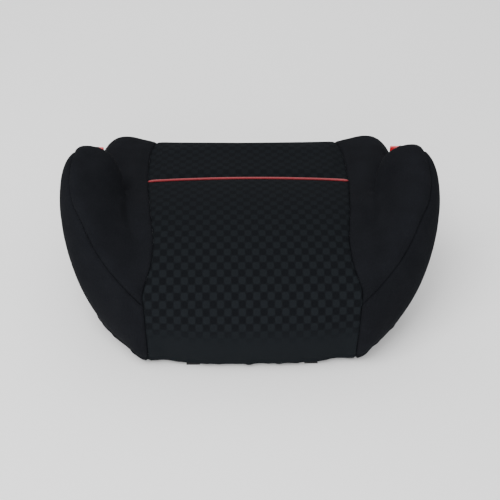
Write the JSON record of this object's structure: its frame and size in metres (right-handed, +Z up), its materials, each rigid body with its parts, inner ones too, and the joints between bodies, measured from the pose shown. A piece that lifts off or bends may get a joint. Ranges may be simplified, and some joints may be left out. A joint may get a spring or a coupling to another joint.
{
  "type": "child booster seat",
  "caption": "Backless child booster seat with horn-shaped arm rests, checked black fabric cover, red piping and red belt guides.",
  "frame": {"origin": "on the floor under the middle of the seat's bounding box", "axes": "+Z up, -Y towards the front edge, +X to the right as seen from the front; left and right in node names are as seen from the front"},
  "size_m": [0.4584, 0.357, 0.1888],
  "materials": {
    "shell_plastic": "moulded polypropylene with a fine grain",
    "guide_plastic": "glossy red moulded plastic",
    "steel": "zinc-plated",
    "foot_rubber": "matt",
    "foam": "open-cell foam",
    "checked_fabric": "black jacquard with a small tone-on-tone check",
    "plain_knit": "plain black laminated knit",
    "piping_cord": "red satin piping",
    "elastic": "woven elastic"
  },
  "bodies": {
    "root": {"seat_shell": "shell_plastic", "bottom_cover": "shell_plastic", "left_arm_frame": "shell_plastic", "right_arm_frame": "shell_plastic", "left_belt_guide": "guide_plastic", "right_belt_guide": "guide_plastic", "shell_screws": "steel", "arm_screws": "steel", "belt_guide_screws": "steel", "rubber_feet": "foot_rubber", "seat_foam": "foam", "left_arm_foam": "foam", "right_arm_foam": "foam", "cover_seat_panel": "checked_fabric", "cover_rear_panel": "checked_fabric", "cover_left_bolster_panel": "plain_knit", "cover_right_bolster_panel": "plain_knit", "cover_left_arm_panel": "plain_knit", "cover_right_arm_panel": "plain_knit", "cover_left_side_panel": "plain_knit", "cover_right_side_panel": "plain_knit", "piping": "piping_cord", "hem_elastic": "elastic", "elastic_loops": "elastic", "cover_hooks": "shell_plastic"}
  },
  "joints": []
}
